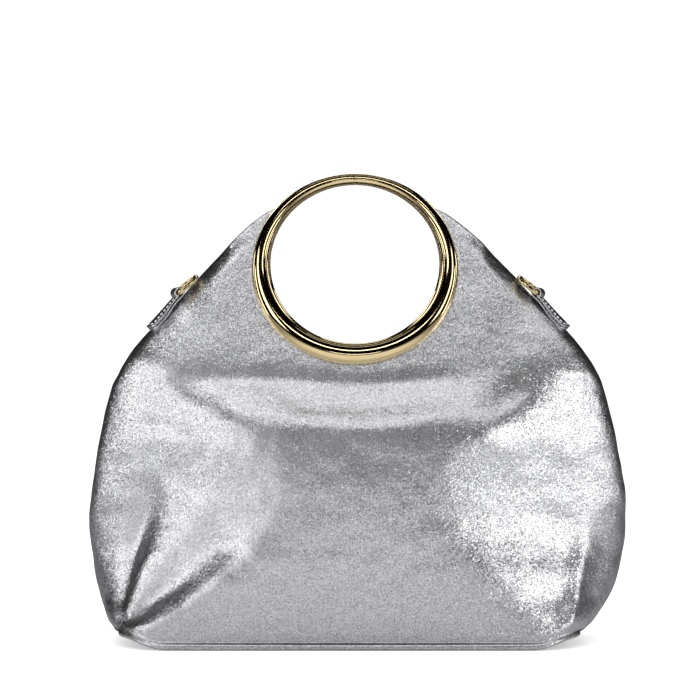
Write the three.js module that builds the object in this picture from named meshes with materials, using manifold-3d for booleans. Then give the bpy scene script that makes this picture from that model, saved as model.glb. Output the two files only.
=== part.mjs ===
// A medium handbag of soft metallic leather with two gold ring handles.
// Millimetres, +Z up, the front faces -Y. The origin lies under the middle of the bag, on the ground.
import * as THREE from "three";
import { mergeVertices } from "three/addons/utils/BufferGeometryUtils.js";
import { ParametricGeometry } from "three/addons/geometries/ParametricGeometry.js";
import Module from "manifold-3d";

const wasm = await Module();
wasm.setup();

// Clearances and leather
const GAP = 0.3;
const WALL = 2;
const BASE_THICKNESS = 3.6;
const BASE_WELT = 0.8;
const END_LIFT = 5.5;
const END_LIFT_START = 0.8;
const FOLD_FULL_HEIGHT = 10;
const FOLD_SEAM_FADE = 0.3;
const MOUTH_CORNER_Z = 221;
const MOUTH_TURN = 12;
const PANEL_TOP_Z = 258.5;

// Ring handles: each ring is a tube that grows from its top to its bottom and leans back at the top
const RING_RADIUS = 56.2;
const RING_TUBE_TOP = 3.2;
const RING_TUBE_BOTTOM = 6.6;
const RING_LEAN = THREE.MathUtils.degToRad(21);
const RING_CENTRE_X = -1.5;
const RING_CENTRE_Y = -24.3;
const RING_CENTRE_Z = 222.8;
const RING_GRIP_END = THREE.MathUtils.degToRad(44);
const RING_GRIP_DEPTH = 1.5;
const SEAT_FLAT_RADIUS = 75;
const SEAT_FADE_RADIUS = 104;
const SEAT_EDGE_MARGIN = 14;
const FOLD_FREE_FROM = 64;
const FOLD_FREE_AT = 80;
const HORN_START_Z = 230;
const HORN_FULL_Z = 242;

// Shoulder tabs and their D-rings: each tab lies a little to the front of its side seam
const TAB_MIDDLE_Z = 194.5;
const TAB_TURN = THREE.MathUtils.degToRad(34.5);
const TAB_LENGTH = 27;
const TAB_WIDTH = 15;
const TAB_LAYERS = 3.2;
const LOOP_LEATHER = 1.5;
const D_WIRE_RADIUS = 1.4;
const D_BORE_CLEARANCE = 0.45;
const D_INNER_WIDTH = 16;
const D_REACH = 14.5;
const D_ARM = 5;
const D_CORNER = 2.6;
const D_REST_LIFT = THREE.MathUtils.degToRad(-6);

// Mesh fineness, and the small steps that measure the slope of the leather
const PANEL_COLUMNS = 40;
const PANEL_ROWS = 22;
const RING_STEPS = 36;
const RING_SIDES = 10;
const LOOP_STEPS = 12;
const D_STEPS = 22;
const D_SIDES = 8;
const ANGLE_STEP = 2e-3;
const HEIGHT_STEP = 0.1;
const MERGE = 1e-4;

// Level sections: half-widths to each side, half-depth, squareness of the ends, and the form of the front. It
// is flat over a share of the width and falls back from there to the side seams, in mm of depth per mm across
const BODY_SECTIONS = [
  { z: 0, left: 138.5, right: 127.5, depth: 65, square: 12, flat: 0.95, fall: 0 },
  { z: 5, left: 141, right: 130, depth: 66, square: 11, flat: 0.92, fall: 0.3 },
  { z: 11, left: 145, right: 136, depth: 66.9, square: 8.5, flat: 0.86, fall: 0.5 },
  { z: 17, left: 148.5, right: 141.5, depth: 67.8, square: 7, flat: 0.78, fall: 0.52 },
  { z: 29, left: 153, right: 150.3, depth: 69.4, square: 6, flat: 0.62, fall: 0.5 },
  { z: 47, left: 157.2, right: 156.8, depth: 71.3, square: 6, flat: 0.49, fall: 0.48 },
  { z: 65, left: 159.5, right: 159.4, depth: 72.8, square: 7.5, flat: 0.36, fall: 0.435 },
  { z: 80, left: 159, right: 159.4, depth: 73.6, square: 9.5, flat: 0.31, fall: 0.405 },
  { z: 92, left: 157.6, right: 158.2, depth: 73.8, square: 11, flat: 0.31, fall: 0.4 },
  { z: 105, left: 155.6, right: 156.1, depth: 73.2, square: 12, flat: 0.345, fall: 0.41 },
  { z: 120, left: 153, right: 153.2, depth: 72, square: 12, flat: 0.41, fall: 0.43 },
  { z: 128, left: 151.4, right: 151.3, depth: 70.5, square: 12, flat: 0.44, fall: 0.44 },
  { z: 134, left: 150.2, right: 149.8, depth: 67.8, square: 12, flat: 0.475, fall: 0.44 },
  { z: 140, left: 148.9, right: 148.4, depth: 63, square: 12, flat: 0.54, fall: 0.43 },
  { z: 146, left: 147.3, right: 146.8, depth: 58, square: 12, flat: 0.615, fall: 0.42 },
  { z: 152, left: 145.4, right: 145, depth: 53.6, square: 12, flat: 0.69, fall: 0.41 },
  { z: 161, left: 141, right: 141, depth: 49.2, square: 11, flat: 0.8, fall: 0.4 },
  { z: 173, left: 133, right: 134, depth: leanDepth(173), square: 10, flat: 0.89, fall: 0.4 },
  { z: 185, left: 122.3, right: 123.5, depth: leanDepth(185), square: 9, flat: 0.93, fall: 0.38 },
  { z: 197, left: 111.5, right: 112, depth: leanDepth(197), square: 8, flat: 0.93, fall: 0.34 },
  { z: 221, left: 90, right: 89.6, depth: leanDepth(221), square: 6, flat: 0.92, fall: 0.25 },
  { z: 233, left: 78.8, right: 78, depth: leanDepth(233), square: 4.5, flat: 0.91, fall: 0.15 },
  { z: 245, left: 66.8, right: 64.9, depth: leanDepth(245), square: 4, flat: 0.9, fall: 0 },
  { z: 251, left: 59.7, right: 57.3, depth: leanDepth(251), square: 4, flat: 0.9, fall: 0 },
  { z: 255, left: 54, right: 51.5, depth: leanDepth(255), square: 4, flat: 0.9, fall: 0 },
  { z: PANEL_TOP_Z, left: 46, right: 43, depth: leanDepth(PANEL_TOP_Z), square: 4, flat: 0.9, fall: 0 },
];
const HIP_ROUNDING = 16;

// How far the free edge of the mouth stands from the middle plane
const MOUTH_EDGE = [
  { z: 0, away: GAP / 2 },
  { z: MOUTH_CORNER_Z, away: GAP / 2 },
  { z: 227, away: 5 },
  { z: 233, away: 11 },
  { z: 239, away: 15.5 },
  { z: 245, away: leanDepth(245) },
  { z: PANEL_TOP_Z, away: leanDepth(PANEL_TOP_Z) },
];

// Folds seen from the front: a line from (x, z) to (toX, toZ), its height (a valley's is below 0), half-width
const FRONT_FOLDS = [
  { x: -139, z: 12, toX: -123, toZ: 86, height: -3, reach: 6 },
  { x: -134, z: 20, toX: -92, toZ: 76, height: 2.4, reach: 10 },
  { x: -135, z: 15, toX: -82, toZ: 58, height: -2.8, reach: 8 },
  { x: -130, z: 9, toX: -78, toZ: 42, height: 1.5, reach: 6 },
  { x: 121, z: 8, toX: 135, toZ: 76, height: 3, reach: 8 },
  { x: -80, z: 156, toX: 60, toZ: 156, height: -1.6, reach: 5 },
  { x: -122, z: 140, toX: -70, toZ: 119, height: -1, reach: 8 },
  { x: 52, z: 128, toX: 106, toZ: 157, height: -2.4, reach: 8 },
];
const BACK_FOLDS = [
  { x: 134, z: 10, toX: 118, toZ: 76, height: -3, reach: 6 },
  { x: 130, z: 12, toX: 86, toZ: 54, height: -2.6, reach: 8 },
  { x: -138, z: 10, toX: -90, toZ: 62, height: -2.7, reach: 8 },
  { x: -136, z: 14, toX: -122, toZ: 80, height: 2.4, reach: 8 },
  { x: -110, z: 154, toX: 110, toZ: 154, height: -1.4, reach: 9 },
];

const LEATHER_LOOK = { color: 0xb7b9c0, metalness: 0.8, roughness: 0.36 };
const GOLD_LOOK = { color: 0xd3ad62, metalness: 1, roughness: 0.12 };

// Distance of the leaning ring plane from the middle plane, on the outer face of the leather
function leanDepth(z) {
  const ringPlane = -RING_CENTRE_Y + (RING_CENTRE_Z - z) * Math.tan(RING_LEAN);
  return ringPlane + WALL / 2 / Math.cos(RING_LEAN);
}

// A column of a table as a smooth function of height that keeps to the range of its rows
function columnOf(rows, column) {
  const heights = rows.map((row) => row.z);
  const values = rows.map((row) => row[column]);
  const rises = values.slice(1).map((value, i) => (value - values[i]) / (heights[i + 1] - heights[i]));
  const slopes = values.map((_, i) => {
    const before = rises[Math.max(i - 1, 0)];
    const after = rises[Math.min(i, rises.length - 1)];
    return before * after > 0 ? (2 * before * after) / (before + after) : 0;
  });
  return (z) => {
    const next = heights.findIndex((height) => height > z);
    if (next === 0) return values[0];
    if (next < 0) return values.at(-1);
    const i = next - 1;
    const span = heights[next] - heights[i];
    const t = (z - heights[i]) / span;
    const ease = t * t * (3 - 2 * t);
    const leave = t * (1 - t) * (1 - t) * span;
    const arrive = t * t * (1 - t) * span;
    return values[i] * (1 - ease) + values[next] * ease + slopes[i] * leave - slopes[next] * arrive;
  };
}

const leftWidth = columnOf(BODY_SECTIONS, "left");
const rightWidth = columnOf(BODY_SECTIONS, "right");
const halfDepth = columnOf(BODY_SECTIONS, "depth");
const squareness = columnOf(BODY_SECTIONS, "square");
const flatShare = columnOf(BODY_SECTIONS, "flat");
const slopeFall = columnOf(BODY_SECTIONS, "fall");
const mouthAway = columnOf(MOUTH_EDGE, "away");

// Unit outline of a section: an ellipse whose corners fill out as the squareness grows
function roundedCorner(angle, square) {
  const across = Math.abs(Math.cos(angle)) ** square;
  const deep = Math.abs(Math.sin(angle)) ** square;
  return (across + deep) ** (-1 / square);
}

// How far the front has fallen back at x, down the slope from the flat to the side seam
function hipDrop(x, width, z) {
  const down = Math.abs(x) - flatShare(z) * width;
  return (slopeFall(z) * (down + Math.hypot(down, HIP_ROUNDING))) / 2;
}

function ringDistance(x, z) {
  return Math.hypot(x - RING_CENTRE_X, (z - RING_CENTRE_Z) / Math.cos(RING_LEAN));
}

// How fully the leather is held flat against the ring plane at a place seen from the front
function seatShare(x, z, width) {
  const nearRing = 1 - THREE.MathUtils.smoothstep(ringDistance(x, z), SEAT_FLAT_RADIUS, SEAT_FADE_RADIUS);
  const inFromEdge = THREE.MathUtils.smoothstep(width - Math.abs(x), 0, SEAT_EDGE_MARGIN);
  const nearTop = THREE.MathUtils.smoothstep(z, HORN_START_Z, HORN_FULL_Z);
  return nearRing * (1 - (1 - inFromEdge) * (1 - nearTop));
}

function foldHeight(folds, x, z) {
  const place = new THREE.Vector3(x, 0, z);
  const nearest = new THREE.Vector3();
  let height = 0;
  for (const fold of folds) {
    const start = new THREE.Vector3(fold.x, 0, fold.z);
    const end = new THREE.Vector3(fold.toX, 0, fold.toZ);
    new THREE.Line3(start, end).closestPointToPoint(place, true, nearest);
    height += fold.height * Math.exp(-((place.distanceTo(nearest) / fold.reach) ** 2));
  }
  return height;
}

// A point of the smooth front, for an angle from 0 at the right seam to pi at the left seam
function smoothPoint(angle, z) {
  const width = Math.cos(angle) > 0 ? rightWidth(z) : leftWidth(z);
  const corner = roundedCorner(angle, squareness(z));
  const x = width * corner * Math.cos(angle);
  const away = mouthAway(z);
  const depth = halfDepth(z) - hipDrop(x, width, z);
  const bulge = away + (depth - away) * corner * Math.sin(angle);
  const seated = seatShare(x, z, width);
  return new THREE.Vector3(x, -THREE.MathUtils.lerp(bulge, leanDepth(z), seated), z);
}

function normalOf(surface, angle, z) {
  const around = surface(angle + ANGLE_STEP, z).sub(surface(angle - ANGLE_STEP, z));
  const up = surface(angle, z + HEIGHT_STEP).sub(surface(angle, z - HEIGHT_STEP));
  return up.cross(around).normalize();
}

// A point of the outer face with its folds, which fade out towards the ring
function leatherPoint(folds, angle, z) {
  const point = smoothPoint(angle, z);
  const free = THREE.MathUtils.smoothstep(ringDistance(point.x, z), FOLD_FREE_FROM, FOLD_FREE_AT);
  const fromSeam = THREE.MathUtils.smoothstep(Math.sin(angle), 0, FOLD_SEAM_FADE);
  const fromBase = THREE.MathUtils.smoothstep(z - panelBottom(angle), 0, FOLD_FULL_HEIGHT);
  const height = foldHeight(folds, point.x, z) * free * fromSeam * fromBase;
  return point.addScaledVector(normalOf(smoothPoint, angle, z), height);
}

// The two ends of the base curl up from the ground, measured at a share of the way out to its rim
function baseLift(angle, share = 1) {
  const endShare = share * Math.abs(Math.cos(angle)) * roundedCorner(angle, squareness(BASE_THICKNESS));
  return END_LIFT * THREE.MathUtils.smoothstep(endShare, END_LIFT_START, 1);
}

function panelBottom(angle) {
  return BASE_THICKNESS + GAP + baseLift(angle);
}

// Closes a geometry into one body with shared corners and faces that point out
function closedBody(geometry) {
  geometry.deleteAttribute("normal");
  geometry.deleteAttribute("uv");
  const merged = mergeVertices(geometry, MERGE);
  const corners = merged.getIndex().array;
  const triangles = [];
  for (let i = 0; i < corners.length; i += 3) {
    const [a, b, c] = corners.slice(i, i + 3);
    if (a !== b && b !== c && a !== c) triangles.push(a, b, c);
  }
  if (signedVolume(merged.getAttribute("position"), triangles) < 0) triangles.reverse();
  merged.setIndex(triangles);
  return merged;
}

function signedVolume(position, triangles) {
  const corner = [new THREE.Vector3(), new THREE.Vector3(), new THREE.Vector3()];
  let volume = 0;
  for (let i = 0; i < triangles.length; i += 3) {
    corner.forEach((vector, k) => vector.fromBufferAttribute(position, triangles[i + k]));
    volume += corner[0].dot(corner[1].cross(corner[2])) / 6;
  }
  return volume;
}

function asSolid(geometry) {
  const body = closedBody(geometry);
  const vertProperties = new Float32Array(body.getAttribute("position").array);
  const triVerts = new Uint32Array(body.getIndex().array);
  return new wasm.Manifold(new wasm.Mesh({ numProp: 3, vertProperties, triVerts }));
}

function asGeometry(solid) {
  const mesh = solid.getMesh();
  const geometry = new THREE.BufferGeometry();
  geometry.setAttribute("position", new THREE.BufferAttribute(mesh.vertProperties, 3));
  geometry.setIndex(new THREE.BufferAttribute(mesh.triVerts, 1));
  return geometry;
}

// One half of the bag as a closed wall: each row runs along the outer face and back along the inner one
function panelWall(folds) {
  const outer = (angle, z) => leatherPoint(folds, angle, z);
  const loopColumns = 2 * PANEL_COLUMNS + 2;
  const rows = [];
  for (let j = 0; j <= PANEL_ROWS; j += 1) {
    const outerRow = [];
    const innerRow = [];
    for (let i = 0; i <= PANEL_COLUMNS; i += 1) {
      const angle = (Math.PI * i) / PANEL_COLUMNS;
      const z = THREE.MathUtils.lerp(panelBottom(angle), PANEL_TOP_Z, j / PANEL_ROWS);
      const normal = normalOf(outer, angle, z);
      const onFoot = j === 0;
      if (onFoot) normal.z = 0;
      const onSeam = i === 0 || i === PANEL_COLUMNS;
      if (onSeam) normal.y *= THREE.MathUtils.smoothstep(z, MOUTH_CORNER_Z, MOUTH_CORNER_Z + MOUTH_TURN);
      const point = outer(angle, z);
      if (onSeam) point.y = -mouthAway(z);
      outerRow.push(point);
      innerRow.unshift(point.clone().addScaledVector(normal.normalize(), -WALL));
    }
    rows.push([...outerRow, ...innerRow]);
  }
  const triangles = [];
  for (let j = 0; j < PANEL_ROWS; j += 1) {
    for (let i = 0; i < loopColumns; i += 1) {
      const next = (i + 1) % loopColumns;
      const [a, b] = [j * loopColumns + i, j * loopColumns + next];
      triangles.push(a, b, a + loopColumns, b, b + loopColumns, a + loopColumns);
    }
  }
  for (let i = 0; i < PANEL_COLUMNS; i += 1) {
    const across = loopColumns - 1 - i;
    const top = PANEL_ROWS * loopColumns;
    triangles.push(i, across, i + 1, i + 1, across, across - 1);
    triangles.push(top + i, top + i + 1, top + across, top + i + 1, top + across - 1, top + across);
  }
  const geometry = new THREE.BufferGeometry().setFromPoints(rows.flat());
  geometry.setIndex(triangles);
  return geometry;
}

// Turns a piece made flat, facing +Z, into the leaning plane of the front ring
function leanIntoPlace(geometry) {
  geometry.rotateX(Math.PI / 2 - RING_LEAN);
  geometry.translate(RING_CENTRE_X, RING_CENTRE_Y, RING_CENTRE_Z);
  return geometry;
}

// The panel opens in a circle that lets its edge reach into the ring's groove
function panelGeometry(folds) {
  const radius = RING_RADIUS + RING_GRIP_DEPTH;
  const opening = new THREE.CylinderGeometry(radius, radius, 20 * WALL, 2 * RING_STEPS);
  opening.rotateX(Math.PI / 2);
  return asGeometry(asSolid(panelWall(folds)).subtract(asSolid(leanIntoPlace(opening))));
}

function ringGeometry() {
  const middle = (RING_TUBE_TOP + RING_TUBE_BOTTOM) / 2;
  const swing = (RING_TUBE_BOTTOM - RING_TUBE_TOP) / 2;
  const tube = (u, v, target) => {
    const around = 2 * Math.PI * u;
    const section = 2 * Math.PI * v;
    const radius = middle - swing * Math.sin(around);
    const reach = RING_RADIUS + radius * Math.cos(section);
    target.set(reach * Math.cos(around), reach * Math.sin(around), radius * Math.sin(section));
  };
  const ring = asSolid(new ParametricGeometry(tube, RING_STEPS, RING_SIDES));
  const groove = new THREE.Shape();
  const floorRadius = RING_RADIUS + RING_GRIP_DEPTH - GAP;
  groove.absarc(0, 0, SEAT_FLAT_RADIUS + 2, RING_GRIP_END, Math.PI - RING_GRIP_END, true);
  groove.absarc(0, 0, floorRadius, Math.PI - RING_GRIP_END, RING_GRIP_END, false);
  const slot = new THREE.ExtrudeGeometry(groove, {
    depth: WALL + 2 * GAP,
    bevelEnabled: false,
    curveSegments: RING_STEPS,
  });
  slot.translate(0, 0, -WALL / 2 - GAP);
  return leanIntoPlace(asGeometry(ring.subtract(asSolid(slot))));
}

// The base: a flat plate with the body's own outline
function baseGeometry() {
  const rim = [
    { share: 0, level: 0 },
    { share: 0.8, level: 0 },
    { share: 0.9, level: 0 },
    { share: 1, level: 0 },
    { share: 1, level: BASE_THICKNESS },
    { share: 0.95, level: BASE_THICKNESS },
    { share: 0.85, level: BASE_THICKNESS },
    { share: 0, level: BASE_THICKNESS },
  ];
  const plate = (u, v, target) => {
    const angle = 2 * Math.PI * u;
    const step = rim[Math.round(v * (rim.length - 1))];
    const edge = smoothPoint(angle, BASE_THICKNESS + baseLift(angle));
    const outward = new THREE.Vector2(edge.x, edge.y).setLength(BASE_WELT);
    const level = step.level + baseLift(angle, step.share);
    target.set((edge.x + outward.x) * step.share, (edge.y + outward.y) * step.share, level);
  };
  return closedBody(new ParametricGeometry(plate, 2 * PANEL_COLUMNS, rim.length - 1));
}

// A folded strip whose fold makes a loop: seen along the D-ring's bar, it runs to -X from the loop
function tabGeometry() {
  const bore = D_WIRE_RADIUS + D_BORE_CLEARANCE;
  const loop = bore + LOOP_LEATHER;
  const meet = Math.asin((TAB_LAYERS - loop) / loop);
  const outline = new THREE.Shape();
  outline.moveTo(-TAB_LENGTH, 0);
  outline.absarc(0, loop, loop, -Math.PI / 2, Math.PI - meet, false);
  outline.lineTo(-TAB_LENGTH, TAB_LAYERS);
  outline.holes.push(new THREE.Path().absarc(0, loop, bore, 0, 2 * Math.PI, true));
  const strip = new THREE.ExtrudeGeometry(outline, {
    depth: TAB_WIDTH,
    bevelEnabled: false,
    curveSegments: LOOP_STEPS,
  });
  return closedBody(strip.translate(0, 0, -TAB_WIDTH / 2));
}

// A wire bent to a D: a straight bar on X, two arms, and a round bow towards +Y
function dRingGeometry() {
  const half = D_INNER_WIDTH / 2 + D_WIRE_RADIUS;
  const wire = new THREE.Path();
  wire.moveTo(0, 0);
  wire.lineTo(half - D_CORNER, 0);
  wire.absarc(half - D_CORNER, D_CORNER, D_CORNER, -Math.PI / 2, 0, false);
  wire.lineTo(half, D_ARM);
  wire.absellipse(0, D_ARM, half, D_REACH - D_ARM, 0, Math.PI, false);
  wire.lineTo(-half, D_CORNER);
  wire.absarc(D_CORNER - half, D_CORNER, D_CORNER, Math.PI, 1.5 * Math.PI, false);
  wire.lineTo(0, 0);
  const tube = (u, v, target) => {
    const centre = wire.getPointAt(u % 1);
    const along = wire.getTangentAt(u % 1);
    const section = 2 * Math.PI * v;
    const aside = D_WIRE_RADIUS * Math.cos(section);
    target.set(centre.x + along.y * aside, centre.y - along.x * aside, D_WIRE_RADIUS * Math.sin(section));
  };
  return closedBody(new ParametricGeometry(tube, D_STEPS, D_SIDES));
}

function mirrored(geometry) {
  geometry.scale(1, -1, 1);
  geometry.getIndex().array.reverse();
  return geometry;
}

function namedMesh(name, geometry, look) {
  const mesh = new THREE.Mesh(geometry, new THREE.MeshStandardMaterial(look));
  mesh.name = name;
  return mesh;
}

// A tab and its D-ring on one shoulder, side -1 for the left and 1 for the right
function shoulderFitting(sideName, side) {
  const angle = side > 0 ? TAB_TURN : Math.PI - TAB_TURN;
  const shoulder = (z) => smoothPoint(angle, z);
  const half = TAB_LENGTH / 2;
  const along = shoulder(TAB_MIDDLE_Z + half).sub(shoulder(TAB_MIDDLE_Z - half)).normalize();
  const outward = normalOf(smoothPoint, angle, TAB_MIDDLE_Z);
  outward.addScaledVector(along, -outward.dot(along)).normalize();
  const fitting = new THREE.Group();
  const axes = new THREE.Matrix4().makeBasis(along, outward, along.clone().cross(outward));
  fitting.setRotationFromMatrix(axes);
  fitting.position.copy(shoulder(TAB_MIDDLE_Z)).addScaledVector(along, half).addScaledVector(outward, GAP);

  const tab = namedMesh(`${sideName}_tab`, tabGeometry(), LEATHER_LOOK);
  const dRing = namedMesh(`${sideName}_d_ring`, dRingGeometry(), GOLD_LOOK);
  const reach = new THREE.Vector3(Math.cos(D_REST_LIFT), Math.sin(D_REST_LIFT), 0);
  const bar = new THREE.Vector3(0, 0, 1);
  dRing.setRotationFromMatrix(new THREE.Matrix4().makeBasis(bar, reach, bar.clone().cross(reach)));
  dRing.position.set(0, D_WIRE_RADIUS + D_BORE_CLEARANCE + LOOP_LEATHER, 0);
  fitting.add(tab, dRing);
  return fitting;
}

const handbag = new THREE.Group();
handbag.add(namedMesh("front_panel", panelGeometry(FRONT_FOLDS), LEATHER_LOOK));
handbag.add(namedMesh("front_ring", ringGeometry(), GOLD_LOOK));

// The back is the front seen in a mirror, with folds of its own
handbag.add(namedMesh("back_panel", mirrored(panelGeometry(BACK_FOLDS)), LEATHER_LOOK));
handbag.add(namedMesh("back_ring", mirrored(ringGeometry()), GOLD_LOOK));

handbag.add(namedMesh("base_panel", baseGeometry(), LEATHER_LOOK));
handbag.add(shoulderFitting("left", -1));
handbag.add(shoulderFitting("right", 1));

export default handbag;
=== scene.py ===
# %% [markdown]
# # A silver handbag with ring handles
# The bag is a soft shell of foil-coated leather that stands on a flat base and is carried by two gold rings.
# Its pieces were laid out as solids first. This lesson loads those solids as a fixed frame and dresses each
# one in turn. The tables below give millimetres, as the solids do, and every mesh is made in metres.

# %% Load the frame
import math

import bmesh
import bpy
import numpy as np
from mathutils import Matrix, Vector, noise


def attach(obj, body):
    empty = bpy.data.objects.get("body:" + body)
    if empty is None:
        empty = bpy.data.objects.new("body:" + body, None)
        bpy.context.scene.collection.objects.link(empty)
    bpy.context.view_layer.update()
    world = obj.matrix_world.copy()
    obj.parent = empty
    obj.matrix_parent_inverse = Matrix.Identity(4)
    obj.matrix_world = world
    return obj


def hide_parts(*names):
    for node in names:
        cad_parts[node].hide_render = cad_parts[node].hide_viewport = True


MM = 0.001
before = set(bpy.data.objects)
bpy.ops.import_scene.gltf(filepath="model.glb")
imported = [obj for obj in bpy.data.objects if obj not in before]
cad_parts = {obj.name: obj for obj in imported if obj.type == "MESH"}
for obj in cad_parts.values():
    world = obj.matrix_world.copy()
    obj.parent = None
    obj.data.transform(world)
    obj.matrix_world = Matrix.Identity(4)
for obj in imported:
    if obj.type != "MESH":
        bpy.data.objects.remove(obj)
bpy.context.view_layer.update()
collection = bpy.context.scene.collection
print("nodes:", ", ".join(sorted(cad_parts)))

# %% [markdown]
# The photograph looks level at the bag from some way off, so near and far edges measure almost the same.
# A camera could be turned to face the middle of the bag, but then upright edges would lean. Here it looks
# straight along +Y from the height of the picture's middle, and the lens alone sets how much is in view.

# %% Place the camera
CAMERA_PLACE = Vector((-0.0045, -1.6, 0.173))
WIDTH_IN_VIEW = 0.42

camera_data = bpy.data.cameras.new("photo_camera")
camera_data.lens = camera_data.sensor_width * -CAMERA_PLACE.y / WIDTH_IN_VIEW
camera = bpy.data.objects.new("photo_camera", camera_data)
camera.location = CAMERA_PLACE
camera.rotation_euler = (math.radians(90), 0, 0)
collection.objects.link(camera)
bpy.context.scene.camera = camera
print(f"lens {camera_data.lens:.1f} mm")

# %% [markdown]
# Both shader trees and geometry trees are built here from nodes and links. Four small helpers keep that
# readable: they add a node with its values, a sum that takes sockets and plain numbers alike, a sum of
# vectors, and the sockets of a tree. Names of sockets differ between versions of Blender, so the version
# is printed.


# %% Helpers for node trees
def add_node(tree, kind, **values):
    node = tree.nodes.new(kind)
    for name, value in values.items():
        node.inputs[name.replace("_", " ")].default_value = value
    return node


def calculate(tree, operation, first, second=0.0):
    node = tree.nodes.new("ShaderNodeMath")
    node.operation = operation
    for socket, value in zip(node.inputs, (first, second)):
        if isinstance(value, bpy.types.NodeSocket):
            tree.links.new(value, socket)
        else:
            socket.default_value = value
    return node.outputs[0]


def vector_math(tree, operation):
    node = tree.nodes.new("ShaderNodeVectorMath")
    node.operation = operation
    return node


def add_sockets(tree, in_out, kind, *names):
    for name in names:
        tree.interface.new_socket(name, in_out=in_out, socket_type=f"NodeSocket{kind}")


print("Blender", bpy.app.version_string)

# %% [markdown]
# The leather is coated with metal foil and pressed with a fine grain, so close up it glitters: each grain
# is a tiny mirror that leans its own way. A bump map of noise would give soft dimples instead. A Voronoi
# texture gives every cell one random colour, and that colour, added to the surface normal, tilts the whole
# cell like a facet. The tilt grows with the cube of the colour's distance from grey, so most grains lie
# nearly flat and a few catch a light from far off. The panels, the base and the tabs share the effect as a
# node group.

# %% Foil grain group
MIDDLE_GREY = (0.5, 0.5, 0.5)
# One over the width of a pebble and of a patch, in grains
PEBBLE_SCALE, PATCH_SCALE = 0.12, 0.035


def foil_grain_group():
    group = bpy.data.node_groups.new("FoilGrain", "ShaderNodeTree")
    add_sockets(group, "INPUT", "Vector", "Coordinates")
    add_sockets(group, "INPUT", "Float", "Grain Size", "Tilt", "Pebble Depth")
    add_sockets(group, "OUTPUT", "Float", "Tone", "Patches")
    add_sockets(group, "OUTPUT", "Vector", "Normal")
    given = group.nodes.new("NodeGroupInput").outputs
    result = group.nodes.new("NodeGroupOutput").inputs

    in_grains = vector_math(group, "SCALE")
    group.links.new(given["Coordinates"], in_grains.inputs[0])
    group.links.new(calculate(group, "DIVIDE", 1.0, given["Grain Size"]), in_grains.inputs["Scale"])

    facets = add_node(group, "ShaderNodeTexVoronoi", Scale=1.0)
    group.links.new(in_grains.outputs[0], facets.inputs["Vector"])
    lean = vector_math(group, "SUBTRACT")
    lean.inputs[1].default_value = MIDDLE_GREY
    group.links.new(facets.outputs["Color"], lean.inputs[0])
    length = vector_math(group, "LENGTH")
    group.links.new(lean.outputs[0], length.inputs[0])
    steep = calculate(group, "POWER", length.outputs["Value"], 2.0)
    tilted = vector_math(group, "MULTIPLY_ADD")
    surface = group.nodes.new("ShaderNodeNewGeometry")
    group.links.new(lean.outputs[0], tilted.inputs[0])
    group.links.new(calculate(group, "MULTIPLY", steep, given["Tilt"]), tilted.inputs[1])
    group.links.new(surface.outputs["Normal"], tilted.inputs[2])
    facet_normal = vector_math(group, "NORMALIZE")
    group.links.new(tilted.outputs[0], facet_normal.inputs[0])

    pebbles = add_node(group, "ShaderNodeTexNoise", Scale=PEBBLE_SCALE, Detail=3.0, Roughness=0.6)
    group.links.new(in_grains.outputs[0], pebbles.inputs["Vector"])
    bump = add_node(group, "ShaderNodeBump", Strength=1.0)
    group.links.new(given["Pebble Depth"], bump.inputs["Distance"])
    group.links.new(pebbles.outputs["Fac"], bump.inputs["Height"])
    group.links.new(facet_normal.outputs[0], bump.inputs["Normal"])
    group.links.new(bump.outputs["Normal"], result["Normal"])

    channels = group.nodes.new("ShaderNodeSeparateColor")
    group.links.new(facets.outputs["Color"], channels.inputs[0])
    group.links.new(channels.outputs[0], result["Tone"])
    patches = add_node(group, "ShaderNodeTexNoise", Scale=PATCH_SCALE, Detail=3.0)
    group.links.new(in_grains.outputs[0], patches.inputs["Vector"])
    group.links.new(patches.outputs["Fac"], result["Patches"])
    return group


FOIL_GRAIN = foil_grain_group()
print("foil grain sockets:", [item.name for item in FOIL_GRAIN.interface.items_tree])

# %% [markdown]
# A finish needs a little unevenness to look real. The grain's tone shifts the colour from cell to cell, and
# its broad patches change how rough the foil is, as handling does. One function makes each leather from its
# colours, so the outer foil and the plain inner side differ only by their values.

# %% Leather finishes
# The colour sockets of a mix node, by number, because its other sockets have the same names
MIX_FROM, MIX_TO, MIX_RESULT = 6, 7, 2


def new_material(name):
    material = bpy.data.materials.new(name)
    material.use_nodes = True
    return material, material.node_tree, material.node_tree.nodes["Principled BSDF"]


def mix_colours(tree, factor, start, end):
    mix = tree.nodes.new("ShaderNodeMix")
    mix.data_type = "RGBA"
    tree.links.new(factor, mix.inputs[0])
    mix.inputs[MIX_FROM].default_value = (*start, 1)
    mix.inputs[MIX_TO].default_value = (*end, 1)
    return mix.outputs[MIX_RESULT]


def map_values(tree, factor, low, high):
    spread = add_node(tree, "ShaderNodeMapRange", To_Min=low, To_Max=high)
    tree.links.new(factor, spread.inputs["Value"])
    return spread.outputs[0]


def leather(name, dark, light, metallic, roughness, grain, tilt, pebble):
    material, tree, shader = new_material(name)
    shader.inputs["Metallic"].default_value = metallic
    place = tree.nodes.new("ShaderNodeTexCoord")
    texture = tree.nodes.new("ShaderNodeGroup")
    texture.node_tree = FOIL_GRAIN
    texture.inputs["Grain Size"].default_value = grain
    texture.inputs["Tilt"].default_value = tilt
    texture.inputs["Pebble Depth"].default_value = pebble
    tree.links.new(place.outputs["Object"], texture.inputs["Coordinates"])
    tree.links.new(mix_colours(tree, texture.outputs["Tone"], dark, light), shader.inputs["Base Color"])
    tree.links.new(map_values(tree, texture.outputs["Patches"], *roughness), shader.inputs["Roughness"])
    tree.links.new(texture.outputs["Normal"], shader.inputs["Normal"])
    return material


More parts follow.
